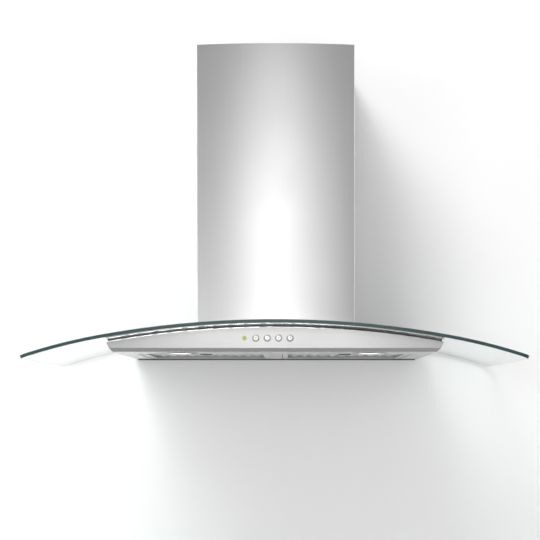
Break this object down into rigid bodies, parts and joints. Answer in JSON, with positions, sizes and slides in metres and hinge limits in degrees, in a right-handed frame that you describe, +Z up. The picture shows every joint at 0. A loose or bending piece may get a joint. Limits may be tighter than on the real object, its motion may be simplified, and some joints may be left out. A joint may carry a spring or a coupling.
{
  "type": "curved glass range hood",
  "caption": "Wall-mounted range hood: bent glass canopy over a bowed steel body with filters, lamps, push buttons, blower and telescopic chimney.",
  "frame": {"origin": "centre of the width, on the wall plane, level with the underside of the body", "axes": "+X to the right along the glass, +Y into the wall, +Z up the chimney"},
  "size_m": [0.898, 0.5, 0.6156],
  "materials": {
    "canopy_glass": "polished float glass, green at its edges",
    "black_rubber": "matt rubber",
    "steel_sheet": "brushed",
    "brushed_steel": "brushed side to side",
    "underside_steel": "satin",
    "chimney_steel": "brushed upright",
    "filter_aluminium": "satin",
    "filter_foil": "crimped foil",
    "latch_plastic": "matt",
    "lamp_chrome": "satin chrome",
    "lamp_glass": "frosted",
    "bulb_glass": "clear",
    "button_chrome": "satin chrome",
    "button_steel": "satin",
    "pilot_plastic": "clear green",
    "switch_plastic": "matt",
    "black_plastic": "matt",
    "board": "solder mask",
    "galvanised": "galvanised",
    "scroll_plastic": "matt",
    "impeller_plastic": "matt",
    "flap_plastic": "matt",
    "motor_metal": "die cast",
    "screw_steel": "zinc plated"
  },
  "bodies": {
    "root": {"blower_box": "galvanised", "body_casing": "steel_sheet", "button_bezel_1": "button_chrome", "button_bezel_2": "button_chrome", "button_bezel_3": "button_chrome", "button_bezel_4": "button_chrome", "button_switches": "switch_plastic", "cable_gland": "black_plastic", "capacitor": "motor_metal", "chimney_lower": "chimney_steel", "chimney_screws": "screw_steel", "clamp_pad": "black_rubber", "clamp_plate": "galvanised", "collar_screws": "screw_steel", "control_board": "board", "control_fascia": "brushed_steel", "control_housing": "black_plastic", "electronics_box": "black_plastic", "filter_centre_rail": "underside_steel", "flap_pin": "screw_steel", "glass_canopy": "canopy_glass", "glass_gasket": "black_rubber", "glass_screws": "screw_steel", "lamp_bezel_left": "lamp_chrome", "lamp_bezel_right": "lamp_chrome", "lamp_bulb_left": "bulb_glass", "lamp_bulb_right": "bulb_glass", "lamp_housing_left": "galvanised", "lamp_housing_right": "galvanised", "lamp_lens_left": "lamp_glass", "lamp_lens_right": "lamp_glass", "motor_body": "motor_metal", "motor_spider": "screw_steel", "outlet_collar": "scroll_plastic", "pilot_lens": "pilot_plastic", "scroll_left": "scroll_plastic", "scroll_right": "scroll_plastic", "underside_frame": "underside_steel", "wall_bracket_left": "galvanised", "wall_bracket_right": "galvanised"},
    "filter_left": {"filter_frame_left": "filter_aluminium", "filter_mesh_left": "filter_foil"},
    "filter_right": {"filter_frame_right": "filter_aluminium", "filter_mesh_right": "filter_foil"},
    "latch_left": {"filter_latch_left": "latch_plastic"},
    "latch_right": {"filter_latch_right": "latch_plastic"},
    "button_1": {"button_1": "button_steel"},
    "button_2": {"button_2": "button_steel"},
    "button_3": {"button_3": "button_steel"},
    "button_4": {"button_4": "button_steel"},
    "upper_chimney": {"chimney_upper": "chimney_steel", "chimney_bracket": "galvanised"},
    "fan": {"impeller": "impeller_plastic", "motor_shaft": "screw_steel"},
    "flap_front": {"flap_front": "flap_plastic"},
    "flap_rear": {"flap_rear": "flap_plastic"}
  },
  "joints": [
    {"name": "button_1_press", "type": "slide", "parent": "root", "child": "button_1", "axis": [0, 1, 0], "range_m": [0, 0.002], "stiffness_N_per_m": 400, "springref_m": -0.0008},
    {"name": "button_2_press", "type": "slide", "parent": "root", "child": "button_2", "axis": [0, 1, 0], "range_m": [0, 0.002], "stiffness_N_per_m": 400, "springref_m": -0.0008},
    {"name": "button_3_press", "type": "slide", "parent": "root", "child": "button_3", "axis": [0, 1, 0], "range_m": [0, 0.002], "stiffness_N_per_m": 400, "springref_m": -0.0008},
    {"name": "button_4_press", "type": "slide", "parent": "root", "child": "button_4", "axis": [0, 1, 0], "range_m": [0, 0.002], "stiffness_N_per_m": 400, "springref_m": -0.0008},
    {"name": "filter_left_drop", "type": "hinge", "parent": "root", "child": "filter_left", "pos_m": [0, -0.024, 0.00575], "axis": [1, 0, 0], "range_deg": [0, 60]},
    {"name": "latch_left_slide", "type": "slide", "parent": "filter_left", "child": "latch_left", "axis": [0, 1, 0], "range_m": [0, 0.006], "stiffness_N_per_m": 150, "springref_m": -0.004},
    {"name": "filter_right_drop", "type": "hinge", "parent": "root", "child": "filter_right", "pos_m": [0, -0.024, 0.00575], "axis": [1, 0, 0], "range_deg": [0, 60]},
    {"name": "latch_right_slide", "type": "slide", "parent": "filter_right", "child": "latch_right", "axis": [0, 1, 0], "range_m": [0, 0.006], "stiffness_N_per_m": 150, "springref_m": -0.004},
    {"name": "chimney_extend", "type": "slide", "parent": "root", "child": "upper_chimney", "axis": [0, 0, 1], "range_m": [0, 0.38]},
    {"name": "fan_spin", "type": "hinge", "parent": "root", "child": "fan", "pos_m": [0, -0.135, 0.16], "axis": [1, 0, 0], "continuous": true},
    {"name": "flap_front_open", "type": "hinge", "parent": "root", "child": "flap_front", "pos_m": [0, -0.096, 0.31], "axis": [-1, 0, 0], "range_deg": [0, 75]},
    {"name": "flap_rear_open", "type": "hinge", "parent": "root", "child": "flap_rear", "pos_m": [0, -0.096, 0.31], "axis": [1, 0, 0], "range_deg": [0, 75]}
  ]
}
